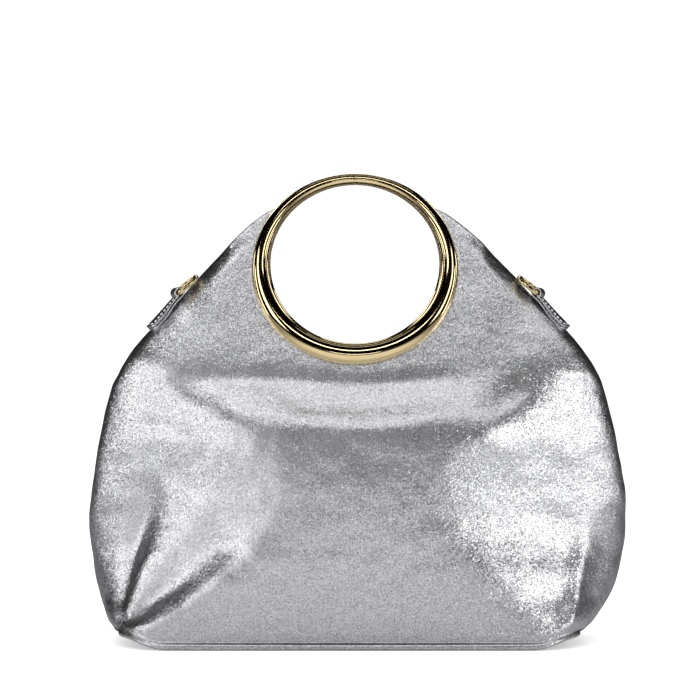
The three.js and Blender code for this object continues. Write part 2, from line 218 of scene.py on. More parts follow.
SILVER_FOIL = leather(
    "silver_foil_leather", dark=(0.38, 0.38, 0.40), light=(0.98, 0.98, 1.0), metallic=1.0,
    roughness=(0.29, 0.37), grain=0.46 * MM, tilt=0.90, pebble=0.30 * MM,
)
INNER_SIDE = leather(
    "inner_side_leather", dark=(0.30, 0.29, 0.29), light=(0.36, 0.35, 0.35), metallic=0.0,
    roughness=(0.80, 0.95), grain=0.5 * MM, tilt=0.30, pebble=0.08 * MM,
)
print("leathers:", SILVER_FOIL.name, INNER_SIDE.name)

# %% [markdown]
# The rings and D-rings are cast metal with a polished pale gold plating. Perfect polish looks like a drawing,
# so broad noise clouds the gloss a little. The stitches are plain grey thread with a twist of noise.


# %% Gold and thread
def clouded_finish(name, dark, light, metallic, roughness, cloud_size):
    material, tree, shader = new_material(name)
    shader.inputs["Metallic"].default_value = metallic
    place = tree.nodes.new("ShaderNodeTexCoord")
    clouds = add_node(tree, "ShaderNodeTexNoise", Scale=1 / cloud_size, Detail=4.0)
    tree.links.new(place.outputs["Object"], clouds.inputs["Vector"])
    tree.links.new(mix_colours(tree, clouds.outputs["Fac"], dark, light), shader.inputs["Base Color"])
    tree.links.new(map_values(tree, clouds.outputs["Fac"], *roughness), shader.inputs["Roughness"])
    return material


POLISHED_GOLD = clouded_finish(
    "polished_gold", dark=(0.86, 0.68, 0.36), light=(0.92, 0.75, 0.43), metallic=1.0,
    roughness=(0.04, 0.11), cloud_size=12 * MM,
)
GREY_THREAD = clouded_finish(
    "grey_thread", dark=(0.55, 0.55, 0.57), light=(0.72, 0.72, 0.74), metallic=0.0,
    roughness=(0.55, 0.75), cloud_size=0.4 * MM,
)
print("other finishes:", POLISHED_GOLD.name, GREY_THREAD.name)

# %% [markdown]
# The body is a loft: level slices from the base to the mouth. The filled bag has the form of a hipped roof on
# its back: a slice is flat across its middle and slopes away from there to the two side seams. The flat is
# wide at the base, narrow at the belly and wide again at the shoulders. From there up, the front follows
# the plane of the leaning ring. The numbers are those of the solids, read by the same smooth curve. Only the
# seam differs: the solids stand apart there, and the sewn leather is closed to a hair.

# %% Slices of the body
RING_X, RING_Y, RING_Z = -1.5, -24.3, 222.8
RING_LEAN = math.radians(21)
WALL = 2.0
MOUTH_CORNER_Z = 221
BELLY_Z = 65.0


def lean_depth(z):
    return -RING_Y + (RING_Z - z) * math.tan(RING_LEAN) + WALL / 2 / math.cos(RING_LEAN)


# Height, half-width left and right, squareness of the ends, flat share of the width, fall of the slopes
SLICES = np.array([
    (0, 138.5, 127.5, 12, 0.95, 0),
    (5, 141, 130, 11, 0.92, 0.30),
    (11, 145, 136, 8.5, 0.86, 0.50),
    (17, 148.5, 141.5, 7, 0.78, 0.52),
    (29, 153, 150.3, 6, 0.62, 0.50),
    (47, 157.2, 156.8, 6, 0.49, 0.48),
    (65, 159.5, 159.4, 7.5, 0.36, 0.435),
    (80, 159, 159.4, 9.5, 0.31, 0.405),
    (92, 157.6, 158.2, 11, 0.31, 0.4),
    (105, 155.6, 156.1, 12, 0.345, 0.41),
    (120, 153, 153.2, 12, 0.41, 0.43),
    (128, 151.4, 151.3, 12, 0.44, 0.44),
    (134, 150.2, 149.8, 12, 0.475, 0.44),
    (140, 148.9, 148.4, 12, 0.54, 0.43),
    (146, 147.3, 146.8, 12, 0.615, 0.42),
    (152, 145.4, 145, 12, 0.69, 0.41),
    (161, 141, 141, 11, 0.8, 0.40),
    (173, 133, 134, 10, 0.89, 0.40),
    (185, 122.3, 123.5, 9, 0.93, 0.38),
    (197, 111.5, 112, 8, 0.93, 0.34),
    (221, 90, 89.6, 6, 0.92, 0.25),
    (233, 78.8, 78, 4.5, 0.91, 0.15),
    (245, 66.8, 64.9, 4, 0.90, 0),
    (251, 59.7, 57.3, 4, 0.90, 0),
    (255, 54, 51.5, 4, 0.90, 0),
    (258.5, 46, 43, 4, 0.90, 0),
])
BELLY_DEPTHS = (
    65, 66, 66.9, 67.8, 69.4, 71.3, 72.8, 73.6, 73.8, 73.2, 72, 70.5, 67.8, 63, 58, 53.6, 49.2
)
MOUTH_EDGE_Z = (0, MOUTH_CORNER_Z, 227, 233, 239, 245, 258.5)
SEAM_HALF_GAP = 0.02
MOUTH_EDGE_AWAY = (SEAM_HALF_GAP, SEAM_HALF_GAP, 5, 11, 15.5, lean_depth(245), lean_depth(258.5))


def smooth_curve(heights, values):
    heights = np.array(heights, dtype=float)
    values = np.array(values, dtype=float)
    rises = np.diff(values) / np.diff(heights)
    before = np.concatenate([rises[:1], rises])
    after = np.concatenate([rises, rises[-1:]])
    agree = before * after > 0
    slopes = np.where(agree, 2 * before * after / np.where(agree, before + after, 1), 0)

    def at(z):
        z = np.clip(z, heights[0], heights[-1])
        i = np.clip(np.searchsorted(heights, z, side="right") - 1, 0, len(heights) - 2)
        span = heights[i + 1] - heights[i]
        t = (z - heights[i]) / span
        ease = t * t * (3 - 2 * t)
        leave = t * (1 - t) ** 2 * span
        arrive = t * t * (1 - t) * span
        return values[i] * (1 - ease) + values[i + 1] * ease + slopes[i] * leave - slopes[i + 1] * arrive

    return at


slice_z, slice_left, slice_right, slice_square, slice_flat, slice_fall = SLICES.T
left_width = smooth_curve(slice_z, slice_left)
right_width = smooth_curve(slice_z, slice_right)
squareness = smooth_curve(slice_z, slice_square)
flat_share = smooth_curve(slice_z, slice_flat)
slope_fall = smooth_curve(slice_z, slice_fall)
shoulder_depths = [lean_depth(z) for z in slice_z[len(BELLY_DEPTHS):]]
half_depth = smooth_curve(slice_z, [*BELLY_DEPTHS, *shoulder_depths])
mouth_away = smooth_curve(MOUTH_EDGE_Z, MOUTH_EDGE_AWAY)
belly_width = left_width(BELLY_Z) + right_width(BELLY_Z)
print(f"belly {belly_width:.0f} mm wide, {2 * half_depth(BELLY_Z):.0f} mm deep")

# %% [markdown]
# A point of the smooth front is found from an angle, 0 at the right seam and pi at the left one, and a
# height. Near the ring the leather is pulled flat into the ring's plane. Arrays of angles and heights go in
# at once, so the whole skin is found in one call.

# %% Smooth front of the bag
SEAT_FLAT_RADIUS, SEAT_FADE_RADIUS, SEAT_EDGE_MARGIN = 75, 104, 14
HORN_START_Z, HORN_FULL_Z = 230, 242
HIP_ROUNDING = 16


def smoothstep(value, low, high):
    t = np.clip((value - low) / (high - low), 0, 1)
    return t * t * (3 - 2 * t)


def side_width(angle, z):
    return np.where(np.cos(angle) > 0, right_width(z), left_width(z))


def corner_reach(angle, square):
    return (np.abs(np.cos(angle)) ** square + np.abs(np.sin(angle)) ** square) ** (-1 / square)


def hip_drop(x, width, z):
    """How far the front has fallen back at x, down the slope from the flat to the side seam."""
    down = np.abs(x) - flat_share(z) * width
    return slope_fall(z) * (down + np.hypot(down, HIP_ROUNDING)) / 2


def ring_distance(x, z):
    return np.hypot(x - RING_X, (z - RING_Z) / math.cos(RING_LEAN))


def seat_share(x, z, width):
    near_ring = 1 - smoothstep(ring_distance(x, z), SEAT_FLAT_RADIUS, SEAT_FADE_RADIUS)
    in_from_edge = smoothstep(width - np.abs(x), 0, SEAT_EDGE_MARGIN)
    near_top = smoothstep(z, HORN_START_Z, HORN_FULL_Z)
    return near_ring * (1 - (1 - in_from_edge) * (1 - near_top))


def smooth_point(angle, z):
    width = side_width(angle, z)
    reach = corner_reach(angle, squareness(z))
    x = width * reach * np.cos(angle)
    away = mouth_away(z)
    depth = half_depth(z) - hip_drop(x, width, z)
    bulge = away + (depth - away) * reach * np.sin(angle)
    seated = seat_share(x, z, width)
    y = -(bulge * (1 - seated) + lean_depth(z) * seated)
    return np.stack([x, y, z + 0 * x], axis=-1)


def unit(vectors):
    return vectors / np.maximum(np.linalg.norm(vectors, axis=-1, keepdims=True), 1e-12)


def smooth_normal(angle, z, angle_step=2e-3, height_step=0.1):
    around = smooth_point(angle + angle_step, z) - smooth_point(angle - angle_step, z)
    up = smooth_point(angle, z + height_step) - smooth_point(angle, z - height_step)
    return unit(np.cross(up, around))


print("front of the belly:", smooth_point(np.array([math.pi / 2]), np.array([BELLY_Z]))[0].round(1))

# %% [markdown]
# Soft leather keeps the folds of the hand that last set it down. They gather at the corners of the base and
# run up the belly. A cloth simulation would fold somewhere else, so each fold of the photograph is drawn as a
# line seen from the front, with a height that changes along it. A sharp fold has a crease for a bottom.

# %% Folds of the leather
# Points of the line: x, z, height there (a valley's is below 0) and half-width there
# Last, the fold's sharpness
FRONT_FOLDS = (
    (((-139, 12, -1.8, 3.5), (-136, 28, -2.2, 4), (-131.5, 52, -3, 6), (-126, 76, -4, 8),
      (-122, 88, -3, 9)), 0.2),
    (((-134, 20, 2.5, 6), (-124, 46, 2.5, 9), (-109, 61, 2.5, 11), (-92, 76, 1.5, 13)), 0),
    (((-135, 15, -2.5, 4), (-111, 34, -3, 7), (-82, 58, -2.5, 11)), 0.1),
    (((-130, 9, 2, 4), (-104, 24, 1.5, 6), (-78, 42, 1, 9)), 0),
    (((121, 8, 4, 6), (127, 34, 3.4, 7), (131, 54, 2.8, 8), (135, 76, 1.5, 9)), 0.4),
    (((-140, 158, -0.8, 5), (-60, 157, -1.6, 5), (0, 156, -1.8, 5), (40, 156, -1.4, 5),
      (76, 158, -0.2, 7)), 0),
    (((-122, 140, -1, 7), (-96, 131, -1.2, 8), (-70, 119, -0.6, 9)), 0),
    (((42, 124, 0, 7), (62, 132, -1.6, 8), (84, 144, -2.6, 8), (108, 158, -0.4, 7)), 0),
)
BACK_FOLDS = (
    (((134, 10, -3, 4), (130, 36, -3.5, 6), (118, 76, -2, 8)), 0.3),
    (((130, 12, -2.5, 4), (112, 28, -3, 7), (86, 54, -1.5, 11)), 0.1),
    (((-138, 10, -3, 4), (-122, 32, -3, 8), (-90, 62, -1.5, 11)), 0.2),
    (((-136, 14, 3, 5), (-132, 44, 2.5, 8), (-122, 80, 1, 10)), 0),
    (((-110, 155, -0.6, 8), (0, 152, -2, 9), (110, 154, -0.6, 8)), 0),
)
FOLD_FREE_FROM, FOLD_FREE_AT = 64, 80
CREASE_FALL = 1.6


def distance_along(path, x, z):
    """Distance of each point from a line of points, and how far along it the nearest place is, 0 to 1."""
    corners = np.array(path, dtype=float)[:, :2]
    lengths = np.linalg.norm(np.diff(corners, axis=0), axis=1)
    nearest = np.full(x.shape, np.inf)
    progress = np.zeros(x.shape)
    for k, length in enumerate(lengths):
        along = (corners[k + 1] - corners[k]) / length
        step_x = x - corners[k, 0]
        step_z = z - corners[k, 1]
        t = np.clip(step_x * along[0] + step_z * along[1], 0, length)
        distance = np.hypot(step_x - t * along[0], step_z - t * along[1])
        closer = distance < nearest
        nearest = np.where(closer, distance, nearest)
        progress = np.where(closer, (k + t / length) / len(lengths), progress)
    return nearest, progress


def fold_height(folds, x, z):
    height = np.zeros(x.shape)
    for path, sharp in folds:
        distance, progress = distance_along(path, x, z)
        heights, reaches = np.array(path, dtype=float).T[2:]
        marks = np.linspace(0, 1, len(path))
        away = distance / np.interp(progress, marks, reaches)
        shape = np.exp(-(away**2)) * (1 - sharp) + np.exp(-CREASE_FALL * away) * sharp
        height += np.interp(progress, marks, heights) * shape
    return height * smoothstep(ring_distance(x, z), FOLD_FREE_FROM, FOLD_FREE_AT)


print(f"{len(FRONT_FOLDS)} folds in front, {len(BACK_FOLDS)} at the back")

# %% [markdown]
# Between the folds the leather is never quite flat. Three sizes of smooth noise crumple it by fractions of a
# millimetre, which is enough to break up reflections. At the side seams and at the base the two layers turn
# in to their stitching, so the skin dips there, and along the mouth its edge rolls inwards.

# %% Skin with folds, crumples and seams
CRUMPLES = ((34, 0.45), (15, 0.5), (8, 0.24))
SEAM_TUCK, SEAM_TUCK_REACH = 1.6, 1.8
BASE_THICKNESS, PIECE_GAP = 3.6, 0.3
BASE_TUCK, BASE_TUCK_REACH = 1.2, 3.0
MOUTH_ROLL, MOUTH_ROLL_WIDTH = 4.0, 9.0
MOUTH_START_Z, MOUTH_FULL_Z = MOUTH_CORNER_Z - 4, MOUTH_CORNER_Z + 8
END_LIFT, END_LIFT_START = 5.5, 0.8
# Where folds and crumples reach their full height: sine of the angle from the seam, heights over the base
FREE_FROM_SEAM, FOLDS_FROM_BASE, CRUMPLES_FROM_BASE = 0.3, 10, 25
# Share of the crumples that the ring's seat takes away, and share that is left at the side seams
SEAT_CALM, EDGE_CRUMPLE = 0.65, 0.35


def base_lift(angle, share=1):
    end_share = share * np.abs(np.cos(angle)) * corner_reach(angle, squareness(BASE_THICKNESS))
    return END_LIFT * smoothstep(end_share, END_LIFT_START, 1)


def panel_bottom(angle):
    return BASE_THICKNESS + PIECE_GAP + base_lift(angle)


def crumple(points, seed):
    total = np.zeros(len(points))
    for size, height in CRUMPLES:
        total += height * np.array([noise.noise(Vector(p / size) + Vector((seed, 0, 0))) for p in points])
    return total


def skin_point(folds, seed, angle, z, outward):
    point = smooth_point(angle, z)
    x, y = point[..., 0], point[..., 1]
    width = side_width(angle, z)
    above_base = z - panel_bottom(angle)
    free = smoothstep(np.sin(angle), 0, FREE_FROM_SEAM) * smoothstep(above_base, 0, FOLDS_FROM_BASE)
    waves = crumple(point.reshape(-1, 3), seed).reshape(x.shape)
    calm = 1 - SEAT_CALM * seat_share(x, z, width)
    loose = smoothstep(above_base, 0, CRUMPLES_FROM_BASE) * calm * (EDGE_CRUMPLE + (1 - EDGE_CRUMPLE) * free)
    normal = smooth_normal(angle, z)
    point = point + normal * (fold_height(folds, x, z) * free + waves * loose)[..., None]

    at_mouth = smoothstep(z, MOUTH_START_Z, MOUTH_FULL_Z)
    from_seam = np.abs(y) - SEAM_HALF_GAP
    seam_dip = SEAM_TUCK * np.exp(-from_seam / SEAM_TUCK_REACH) * (1 - at_mouth)
    base_dip = BASE_TUCK * np.exp(-((above_base / BASE_TUCK_REACH) ** 2))
    point = point - normal * (seam_dip + base_dip)[..., None]
    edge_share = np.clip(1 - (width - np.abs(x)) / MOUTH_ROLL_WIDTH, 0, 1)
    point[..., 1] += MOUTH_ROLL * edge_share**2 * at_mouth * outward**2
    return point


print(f"panels start {panel_bottom(math.pi / 2):.1f} mm up, at the seams {panel_bottom(0.0):.1f} mm")

# %% [markdown]
# A grid of level rows would be cut ragged where the ring's opening crosses it. This grid runs instead from
# the opening outwards: its first line lies on the opening, its last one along the shoulder, the side seam,
# the base and up the other side, and straight lines in angle and height join the two. Every edge of the panel
# is then an edge of the grid, and the wall closes without any cutting.

# %% Grid from the ring to the edges
RING_RADIUS, TUBE_TOP, TUBE_BOTTOM = 56.2, 3.2, 6.6
EDGE_IN_TUBE = 2.6
HORN_TIP_WIDTH, HORN_TOP_Z = 1.2, 258.4
SIDE_STEPS, BASE_STEPS, OUTWARD_STEPS = 120, 200, 86
HORN_SEARCH = np.radians(np.linspace(0, 70, 701))
EDGE_SAMPLES = 2001


def tube_radius(turn):
    return (TUBE_TOP + TUBE_BOTTOM) / 2 - (TUBE_BOTTOM - TUBE_TOP) / 2 * np.sin(turn)


def opening_point(turn):
    reach = RING_RADIUS + tube_radius(turn) - EDGE_IN_TUBE
    return RING_X + reach * np.cos(turn), RING_Z + reach * np.sin(turn) * math.cos(RING_LEAN)


def horn_turn(width_at, side):
    """The highest turn round the ring at which leather is left between the opening and the mouth's edge."""
    x, z = opening_point(HORN_SEARCH if side > 0 else math.pi - HORN_SEARCH)
    wide_enough = (width_at(z) - side * x > HORN_TIP_WIDTH) & (z < HORN_TOP_Z)
    return HORN_SEARCH[np.argmin(wide_enough) - 1]


def angle_at(x, z):
    width = np.where(x > 0, right_width(z), left_width(z))
    share = np.clip(x / width, -1, 1)
    square = squareness(z)
    return np.arctan2((1 - np.abs(share) ** square) ** (1 / square), share)


def panel_grid():
    """Angles and heights of the grid: one row per step along the edge, one column per step outwards."""
    right_turn = horn_turn(right_width, 1)
    left_turn = horn_turn(left_width, -1)
    right_top = opening_point(right_turn)[1]
    left_top = opening_point(math.pi - left_turn)[1]
    fine = np.linspace(0, math.pi, EDGE_SAMPLES)
    edge = smooth_point(fine, panel_bottom(fine))
    run = np.concatenate([[0], np.cumsum(np.linalg.norm(np.diff(edge, axis=0), axis=1))])
    base_angle = np.interp(np.linspace(0, run[-1], BASE_STEPS + 1), run, fine)
    right_z = np.linspace(right_top, panel_bottom(0.0), SIDE_STEPS + 1)[:-1]
    left_z = np.linspace(panel_bottom(math.pi), left_top, SIDE_STEPS + 1)[1:]
    edge_angle = np.concatenate([0 * right_z, base_angle, 0 * left_z + math.pi])
    edge_z = np.concatenate([right_z, panel_bottom(base_angle), left_z])
    turn = np.linspace(right_turn, -math.pi - left_turn, len(edge_z))
    ring_x, ring_z = opening_point(turn)
    outward = np.linspace(0, 1, OUTWARD_STEPS + 1)
    angle = np.outer(angle_at(ring_x, ring_z), 1 - outward) + np.outer(edge_angle, outward)
    z = np.outer(ring_z, 1 - outward) + np.outer(edge_z, outward)
    return angle, z, outward


grid_angle, grid_z, grid_outward = panel_grid()
print("grid of the panel:", grid_angle.shape, f"top {grid_z.max():.1f} mm")

# %% [markdown]
# The wall is the skin, the same skin moved inwards by its thickness, and a rounded strip that joins the two
# all round. At the mouth the leather is folded over into a hem, so the wall is thicker there and the foil
# carries on over the edge. Below the mouth the edge stays on its own side of the seam, and a hard edge there
# keeps the bottom of the seam dark.

# %% Leather panels
HEM_WIDTH, HEM_EXTRA, HEM_FADE = 11.0, 1.0, 1.0
FOIL_FROM_HEM = 0.5
# Wall at the tip of a horn, and how much it gains per millimetre of leather between opening and edge
TIP_WALL, TIP_WALL_GAIN = 0.4, 0.2
SEAM_SINE = 1e-6
RIM_TURNS = np.radians((45, 90, 135))
FRONT_SEED, BACK_SEED = 3.0, 41.0


def new_piece(name, points, faces, *materials):
    mesh = bpy.data.meshes.new(name)
    mesh.from_pydata((np.asarray(points) * MM).tolist(), [], faces)
    for material in materials:
        mesh.materials.append(material)
    mesh.shade_smooth()
    piece = bpy.data.objects.new(name, mesh)
    collection.objects.link(piece)
    return piece


def dress(piece, body, slot, *nodes):
    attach(piece, body)
    if nodes:
        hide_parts(*nodes)
    mesh = piece.data
    triangles = sum(len(face.vertices) - 2 for face in mesh.polygons)
    print(f"{piece.name}: {len(mesh.vertices)} points, {triangles} triangles")


def grid_normals(points, towards):
    along_edge = np.gradient(points, axis=0)
    outwards = np.gradient(points, axis=1)
    normal = unit(np.cross(along_edge, outwards))
    return normal * np.sign(np.sum(normal * towards, axis=-1, keepdims=True))


def grid_quads(numbers):
    a, b = numbers[:-1, :-1], numbers[:-1, 1:]
    c, d = numbers[1:, 1:], numbers[1:, :-1]
    return np.stack([a, b, c, d], axis=-1).reshape(-1, 4)


def sharpen(mesh, corners):
    """Give a hard edge to each edge that joins two of the corners."""
    ends = np.empty(2 * len(mesh.edges), dtype=np.int32)
    mesh.edges.foreach_get("vertices", ends)
    hard = np.isin(ends.reshape(-1, 2), corners).all(axis=1)
    mesh.attributes.new("sharp_edge", "BOOLEAN", "EDGE").data.foreach_set("value", hard)


def panel(name, folds, seed, side):
    angle, z = grid_angle, grid_z
    skin = skin_point(folds, seed, angle, z, grid_outward)
    ray_length = np.linalg.norm(skin[:, -1] - skin[:, 0], axis=1)[:, None]
    at_mouth = smoothstep(z, MOUTH_CORNER_Z, MOUTH_FULL_Z)
    normal = grid_normals(skin, smooth_normal(angle, z))
    on_seam = (np.sin(angle) < SEAM_SINE) & (z < MOUTH_FULL_Z)
    normal[..., 1] = np.where(on_seam, normal[..., 1] * at_mouth, normal[..., 1])
    normal = unit(normal)
    from_edge = side_width(angle, z) - np.abs(skin[..., 0])
    in_hem = (1 - smoothstep(from_edge, HEM_WIDTH - HEM_FADE, HEM_WIDTH)) * at_mouth
    thickness = np.minimum(WALL + HEM_EXTRA * in_hem, TIP_WALL + TIP_WALL_GAIN * ray_length)
    inner = skin - normal * thickness[..., None]

    rows, columns = z.shape
    skin_numbers = np.arange(rows * columns).reshape(rows, columns)
    inner_numbers = skin_numbers + rows * columns
    points = [skin.reshape(-1, 3), inner.reshape(-1, 3)]
    rim = np.concatenate([skin_numbers[:, -1], skin_numbers[-1, -2::-1], skin_numbers[::-1, 0][1:],
                          skin_numbers[0, 1:]])
    rim_skin = points[0][rim]
    rim_inner = points[1][rim]
    beyond = unit(skin[:, -1] - skin[:, -3])
    rim_beyond = np.zeros_like(rim_skin)
    rim_beyond[:rows] = beyond * at_mouth[:, -1:]
    rim_rows = [rim]
    middle = (rim_skin + rim_inner) / 2
    half = (rim_skin - rim_inner) / 2
    bulge = rim_beyond * np.linalg.norm(half, axis=1, keepdims=True)
    for k, turn in enumerate(RIM_TURNS):
        points.append(middle + half * math.cos(turn) + bulge * math.sin(turn))
        rim_rows.append(np.arange(len(rim)) + 2 * rows * columns + k * len(rim))
    rim_rows.append(rim + rows * columns)
    rim_numbers = np.stack(rim_rows, axis=1)

    points = np.concatenate(points)
    faces = np.concatenate([grid_quads(skin_numbers), grid_quads(inner_numbers)[:, ::-1],
                            grid_quads(rim_numbers)[:, ::-1]])
    points[:, 1] *= -side
    if side > 0:
        faces = faces[:, ::-1]
    piece = new_piece(name, points, faces.tolist(), SILVER_FOIL, INNER_SIDE)
    inner_plain = (in_hem[:-1, :-1] < FOIL_FROM_HEM).reshape(-1)
    kinds = np.zeros(len(faces), dtype=np.int32)
    kinds[len(inner_plain):2 * len(inner_plain)] = inner_plain
    piece.data.polygons.foreach_set("material_index", kinds)
    sharpen(piece.data, skin_numbers[on_seam & (z < MOUTH_CORNER_Z)])
    return piece


front_leather = panel("front_leather", FRONT_FOLDS, FRONT_SEED, -1)
back_leather = panel("back_leather", BACK_FOLDS, BACK_SEED, 1)
dress(front_leather, "bag", "silver_leather", "front_panel")
dress(back_leather, "bag", "silver_leather", "back_panel")

# %% [markdown]
# Each ring is a tube bent to a circle, and the tube swells evenly from the top to the bottom. A torus has one
# thickness all round, so a node tree makes the ring from its rule instead: a flat grid whose two directions
# become the turn round the ring and the turn round the tube. A fine nick at the top marks where it was
# joined.

# %% Ring handles
NICK_DEPTH, NICK_WIDTH = 0.3, 0.6
RING_STEPS, RING_SIDES = 720, 40
# In metres: closer points are one point
SAME_POINT = 1e-6


def ring_tree():
    tree = bpy.data.node_groups.new("GraduatedRing", "GeometryNodeTree")
    add_sockets(tree, "INPUT", "Float", "Radius", "Tube Top", "Tube Bottom")
    add_sockets(tree, "INPUT", "Float", "Nick Depth", "Nick Width", "Lean")
    add_sockets(tree, "INPUT", "Int", "Steps", "Sides")
    add_sockets(tree, "INPUT", "Vector", "Centre")
    add_sockets(tree, "OUTPUT", "Geometry", "Geometry")
    given = tree.nodes.new("NodeGroupInput").outputs
    result = tree.nodes.new("NodeGroupOutput")

    grid = add_node(tree, "GeometryNodeMeshGrid", Size_X=1.0, Size_Y=1.0)
    tree.links.new(calculate(tree, "ADD", given["Steps"], 1), grid.inputs["Vertices X"])
    tree.links.new(calculate(tree, "ADD", given["Sides"], 1), grid.inputs["Vertices Y"])
    shares = tree.nodes.new("ShaderNodeSeparateXYZ")
    tree.links.new(grid.outputs["UV Map"], shares.inputs[0])
    turn = calculate(tree, "MULTIPLY", shares.outputs[0], 2 * math.pi)
    section = calculate(tree, "MULTIPLY", shares.outputs[1], 2 * math.pi)

    middle = calculate(tree, "MULTIPLY", calculate(tree, "ADD", given["Tube Top"], given["Tube Bottom"]), 0.5)
    swing = calculate(tree, "SUBTRACT", given["Tube Bottom"], middle)
    thinner = calculate(tree, "MULTIPLY", swing, calculate(tree, "SINE", turn))
    even = calculate(tree, "SUBTRACT", middle, thinner)
    from_top = calculate(tree, "ABSOLUTE", calculate(tree, "SUBTRACT", turn, math.pi / 2))
    run_from_top = calculate(tree, "MULTIPLY", from_top, given["Radius"])
    from_nick = calculate(tree, "DIVIDE", run_from_top, given["Nick Width"])
    nick_share = calculate(tree, "MAXIMUM", calculate(tree, "SUBTRACT", 1.0, from_nick), 0.0)
    tube = calculate(tree, "SUBTRACT", even, calculate(tree, "MULTIPLY", nick_share, given["Nick Depth"]))

    out = calculate(tree, "MULTIPLY", tube, calculate(tree, "COSINE", section))
    reach = calculate(tree, "ADD", given["Radius"], out)
    place = tree.nodes.new("ShaderNodeCombineXYZ")
    tree.links.new(calculate(tree, "MULTIPLY", reach, calculate(tree, "COSINE", turn)), place.inputs[0])
    tree.links.new(calculate(tree, "MULTIPLY", reach, calculate(tree, "SINE", turn)), place.inputs[1])
    tree.links.new(calculate(tree, "MULTIPLY", tube, calculate(tree, "SINE", section)), place.inputs[2])
    bent = tree.nodes.new("GeometryNodeSetPosition")
    tree.links.new(grid.outputs["Mesh"], bent.inputs["Geometry"])
    tree.links.new(place.outputs[0], bent.inputs["Position"])

    closed = add_node(tree, "GeometryNodeMergeByDistance", Distance=SAME_POINT)
    tree.links.new(bent.outputs[0], closed.inputs["Geometry"])
    upright = tree.nodes.new("ShaderNodeCombineXYZ")
    tree.links.new(calculate(tree, "SUBTRACT", math.pi / 2, given["Lean"]), upright.inputs[0])
    turned = tree.nodes.new("GeometryNodeTransform")
    tree.links.new(closed.outputs[0], turned.inputs["Geometry"])
    tree.links.new(upright.outputs[0], turned.inputs["Rotation"])
    tree.links.new(given["Centre"], turned.inputs["Translation"])
    finish_tree(tree, turned.outputs[0], result.inputs["Geometry"], POLISHED_GOLD)
    return tree


def finish_tree(tree, made, output, material):
    realized = tree.nodes.new("GeometryNodeRealizeInstances")
    smooth = tree.nodes.new("GeometryNodeSetShadeSmooth")
    painted = add_node(tree, "GeometryNodeSetMaterial", Material=material)
    tree.links.new(made, realized.inputs["Geometry"])
    tree.links.new(realized.outputs[0], smooth.inputs["Geometry"])
    tree.links.new(smooth.outputs[0], painted.inputs["Geometry"])
    tree.links.new(painted.outputs[0], output)


def grow(name, tree, values, start_mesh=None):
    """Runs a geometry tree on an object and leaves its result there as a plain mesh."""
    piece = bpy.data.objects.new(name, start_mesh or bpy.data.meshes.new(name))
    collection.objects.link(piece)
    modifier = piece.modifiers.new("shape", "NODES")
    modifier.node_group = tree
    for socket in tree.interface.items_tree:
        if socket.in_out == "INPUT" and socket.name in values:
            modifier[socket.identifier] = values[socket.name]
    shaped = piece.evaluated_get(bpy.context.evaluated_depsgraph_get())
    mesh = bpy.data.meshes.new_from_object(shaped)
    piece.modifiers.remove(modifier)
    piece.data = mesh
    mesh.name = name
    return piece


GRADUATED_RING = ring_tree()
for name, node, side in (("front_ring_gold", "front_ring", -1), ("back_ring_gold", "back_ring", 1)):
    ring = grow(name, GRADUATED_RING, {
        "Radius": RING_RADIUS * MM,
        "Tube Top": TUBE_TOP * MM,
        "Tube Bottom": TUBE_BOTTOM * MM,
        "Nick Depth": NICK_DEPTH * MM,
        "Nick Width": NICK_WIDTH * MM,
        "Lean": -side * RING_LEAN,
        "Steps": RING_STEPS,
        "Sides": RING_SIDES,
        "Centre": (RING_X * MM, side * -RING_Y * MM, RING_Z * MM),
    })
    dress(ring, "bag", "gold_metal", node)

# %% [markdown]
# The bag stands on a stiff base covered in the same leather. Only its edge shows, as a thin rounded strip
# under the front seam. The plate is drawn as a ladder of outlines: out along the underside, round the edge
# and back in on top. Its two ends curl up from the ground as the leather pulls on them.

# %% Base
BASE_END_TUCK = 4.0
BASE_COLUMNS = 320
# Share of the way out from the middle, step beyond the body's outline, height
BASE_PROFILE = (
    (0.0, 0, 0), (0.4, 0, 0), (0.8, 0, 0), (0.87, 0, 0), (0.93, 0, 0), (1, -3.0, 0), (1, -1.2, 0.1),
    (1, -0.1, 0.45), (1, 0.5, 1.0), (1, 0.8, 1.8), (1, 0.6, 2.6), (1, 0.0, 3.2), (1, -1.0, 3.5),
    (1, -3.0, BASE_THICKNESS), (0.93, 0, BASE_THICKNESS), (0.87, 0, BASE_THICKNESS),
    (0.8, 0, BASE_THICKNESS), (0.0, 0, BASE_THICKNESS),
)


def base_plate():
    angle = np.linspace(0, 2 * math.pi, BASE_COLUMNS, endpoint=False)
    edge = smooth_point(angle, BASE_THICKNESS + base_lift(angle))
    outward = unit(edge[:, :2])
    rows = []
    tuck = BASE_END_TUCK * base_lift(angle)[:, None] / END_LIFT
    for share, step, height in BASE_PROFILE:
        level = edge[:, :2] * share + outward * (step - tuck * share)
        rows.append(np.column_stack([level, height + base_lift(angle, share)]))
    points = np.stack(rows, axis=1)
    numbers = np.arange(points.shape[0] * points.shape[1]).reshape(points.shape[:2])
    numbers[:, 0] = numbers[0, 0]
    numbers[:, -1] = numbers[0, -1]
    closed = np.concatenate([numbers, numbers[:1]])
    faces = [list(dict.fromkeys(quad)) for quad in grid_quads(closed).tolist()]
    return points.reshape(-1, 3), faces


def tidy_mesh(piece):
    """Drops unused points and turns all faces outwards."""
    mesh = piece.data
    work = bmesh.new()
    work.from_mesh(mesh)
    loose = [vertex for vertex in work.verts if not vertex.link_faces]
    bmesh.ops.delete(work, geom=loose, context="VERTS")
    bmesh.ops.recalc_face_normals(work, faces=work.faces)
    work.to_mesh(mesh)
    work.free()
    mesh.shade_smooth()


